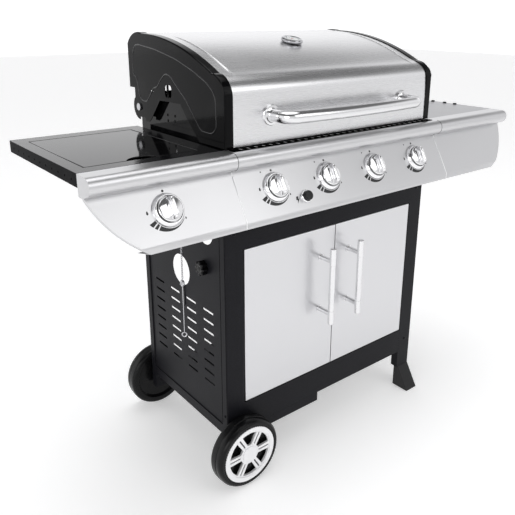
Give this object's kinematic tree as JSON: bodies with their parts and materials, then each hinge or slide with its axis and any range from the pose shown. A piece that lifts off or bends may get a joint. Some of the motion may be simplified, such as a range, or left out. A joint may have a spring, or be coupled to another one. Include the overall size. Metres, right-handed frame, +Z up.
{
  "type": "gas barbecue grill",
  "caption": "Gas barbecue grill on a wheeled cart with hinged lid, two cabinet doors, side tables, flush side burner, turning control knobs and slide-out grease tray.",
  "frame": {"origin": "middle of the footprint of the whole grill, on the ground", "axes": "+X to the right seen from the front, +Y from the front to the back, +Z up"},
  "size_m": [1.154, 0.4515, 0.9306],
  "materials": {
    "cart_black": "fine black powder coat",
    "enamel_black": "gloss black enamel",
    "stainless": "brushed stainless steel",
    "fascia_steel": "satin stainless steel",
    "chrome": "bright chrome plate",
    "polished_steel": "polished steel tube",
    "table_grey": "silver grey satin paint",
    "tyre_black": "moulded black plastic",
    "hub_silver": "silver painted plastic",
    "plastic_black": "black plastic",
    "cast_iron": "matt black enamelled cast iron",
    "burner_steel": "plain stainless steel",
    "gas_brass": "machined brass",
    "zinc_steel": "zinc plated steel"
  },
  "bodies": {
    "cart": {"left_side_panel": "cart_black", "right_side_panel": "cart_black", "front_top_rail": "cart_black", "front_bottom_rail": "cart_black", "bottom_shelf": "cart_black", "bottle_tray": "cart_black", "rear_brace": "cart_black", "wheel_axle": "zinc_steel", "front_foot": "plastic_black", "rear_foot": "plastic_black", "left_fascia": "fascia_steel", "center_fascia": "fascia_steel", "right_fascia": "fascia_steel", "gas_manifold": "gas_brass", "knob_bezels": "chrome", "igniter_collar": "chrome", "firebox": "enamel_black", "firebox_brackets": "zinc_steel", "main_burners": "burner_steel", "flame_tamers": "burner_steel", "left_grate": "cast_iron", "right_grate": "cast_iron", "warming_rack": "chrome", "lid_hinge_pins": "zinc_steel", "left_table": "enamel_black", "right_table": "table_grey", "tool_hooks": "plastic_black", "side_burner_bowl": "enamel_black", "side_burner_head": "burner_steel", "pan_support": "cast_iron"},
    "lid": {"lid_skin": "stainless", "lid_left_end": "enamel_black", "lid_right_end": "enamel_black", "lid_handle": "polished_steel", "thermometer": "chrome"},
    "left_door": {"left_door": "stainless", "left_door_handle": "polished_steel"},
    "right_door": {"right_door": "stainless", "right_door_handle": "polished_steel"},
    "front_wheel": {"front_tyre": "tyre_black", "front_hub_cap": "hub_silver"},
    "rear_wheel": {"rear_tyre": "tyre_black", "rear_hub_cap": "hub_silver"},
    "grease_drawer": {"grease_tray": "zinc_steel", "grease_cup": "zinc_steel"},
    "side_burner_lid": {"side_burner_lid": "enamel_black"},
    "igniter_button": {"igniter_button": "plastic_black"},
    "match_chain": {"match_chain": "zinc_steel"},
    "match_rod": {"match_rod": "zinc_steel"},
    "clamp_knob": {"clamp_knob": "plastic_black"},
    "valve_stem_1": {"valve_stem_1": "gas_brass"},
    "control_knob_1": {"control_knob_1": "chrome"},
    "valve_stem_2": {"valve_stem_2": "gas_brass"},
    "control_knob_2": {"control_knob_2": "chrome"},
    "valve_stem_3": {"valve_stem_3": "gas_brass"},
    "control_knob_3": {"control_knob_3": "chrome"},
    "valve_stem_4": {"valve_stem_4": "gas_brass"},
    "control_knob_4": {"control_knob_4": "chrome"},
    "valve_stem_5": {"valve_stem_5": "gas_brass"},
    "control_knob_5": {"control_knob_5": "chrome"}
  },
  "joints": [
    {"name": "lid_hinge", "type": "hinge", "parent": "cart", "child": "lid", "pos_m": [0, 0.17499, 0.772], "axis": [-1, 0, 0], "range_deg": [0, 85]},
    {"name": "left_door_hinge", "type": "hinge", "parent": "cart", "child": "left_door", "pos_m": [-0.23, -0.14001, 0.348], "axis": [0, 0, -1], "range_deg": [0, 110]},
    {"name": "right_door_hinge", "type": "hinge", "parent": "cart", "child": "right_door", "pos_m": [0.23, -0.14001, 0.348], "axis": [0, 0, 1], "range_deg": [0, 110]},
    {"name": "front_wheel_spin", "type": "hinge", "parent": "cart", "child": "front_wheel", "pos_m": [-0.276, -0.17601, 0.078], "axis": [0, 1, 0], "continuous": true},
    {"name": "rear_wheel_spin", "type": "hinge", "parent": "cart", "child": "rear_wheel", "pos_m": [-0.276, 0.20599, 0.078], "axis": [0, 1, 0], "continuous": true},
    {"name": "grease_drawer_slide", "type": "slide", "parent": "cart", "child": "grease_drawer", "axis": [0, 1, 0], "range_m": [0, 0.25]},
    {"name": "side_burner_lid_hinge", "type": "hinge", "parent": "cart", "child": "side_burner_lid", "pos_m": [-0.4435, 0.14299, 0.725], "axis": [-1, 0, 0], "range_deg": [0, 100]},
    {"name": "igniter_press", "type": "slide", "parent": "cart", "child": "igniter_button", "axis": [0, 0.8705, -0.4922], "range_m": [0, 0.005], "stiffness_N_per_m": 800},
    {"name": "match_chain_swing", "type": "hinge", "parent": "cart", "child": "match_chain", "pos_m": [-0.327, -0.03001, 0.698], "axis": [1, 0, 0], "range_deg": [-30, 30]},
    {"name": "match_rod_swing", "type": "hinge", "parent": "match_chain", "child": "match_rod", "pos_m": [-0.327, -0.03001, 0.43], "axis": [1, 0, 0], "range_deg": [-60, 60]},
    {"name": "clamp_screw_turn", "type": "hinge", "parent": "cart", "child": "clamp_knob", "pos_m": [-0.3, -0.07121, 0.4719], "axis": [-1, 0, 0], "range_deg": [0, 720]},
    {"name": "valve_push_1", "type": "slide", "parent": "cart", "child": "valve_stem_1", "axis": [0, 0.8705, -0.4922], "range_m": [0, 0.004], "stiffness_N_per_m": 600},
    {"name": "knob_turn_1", "type": "hinge", "parent": "valve_stem_1", "child": "control_knob_1", "pos_m": [-0.443, -0.19191, 0.65426], "axis": [0, -0.8705, 0.4922], "range_deg": [0, 240]},
    {"name": "valve_push_2", "type": "slide", "parent": "cart", "child": "valve_stem_2", "axis": [0, 0.8705, -0.4922], "range_m": [0, 0.004], "stiffness_N_per_m": 600},
    {"name": "knob_turn_2", "type": "hinge", "parent": "valve_stem_2", "child": "control_knob_2", "pos_m": [-0.209, -0.19191, 0.65426], "axis": [0, -0.8705, 0.4922], "range_deg": [0, 240]},
    {"name": "valve_push_3", "type": "slide", "parent": "cart", "child": "valve_stem_3", "axis": [0, 0.8705, -0.4922], "range_m": [0, 0.004], "stiffness_N_per_m": 600},
    {"name": "knob_turn_3", "type": "hinge", "parent": "valve_stem_3", "child": "control_knob_3", "pos_m": [-0.0705, -0.19191, 0.65426], "axis": [0, -0.8705, 0.4922], "range_deg": [0, 240]},
    {"name": "valve_push_4", "type": "slide", "parent": "cart", "child": "valve_stem_4", "axis": [0, 0.8705, -0.4922], "range_m": [0, 0.004], "stiffness_N_per_m": 600},
    {"name": "knob_turn_4", "type": "hinge", "parent": "valve_stem_4", "child": "control_knob_4", "pos_m": [0.068, -0.19191, 0.65426], "axis": [0, -0.8705, 0.4922], "range_deg": [0, 240]},
    {"name": "valve_push_5", "type": "slide", "parent": "cart", "child": "valve_stem_5", "axis": [0, 0.8705, -0.4922], "range_m": [0, 0.004], "stiffness_N_per_m": 600},
    {"name": "knob_turn_5", "type": "hinge", "parent": "valve_stem_5", "child": "control_knob_5", "pos_m": [0.208, -0.19191, 0.65426], "axis": [0, -0.8705, 0.4922], "range_deg": [0, 240]}
  ]
}
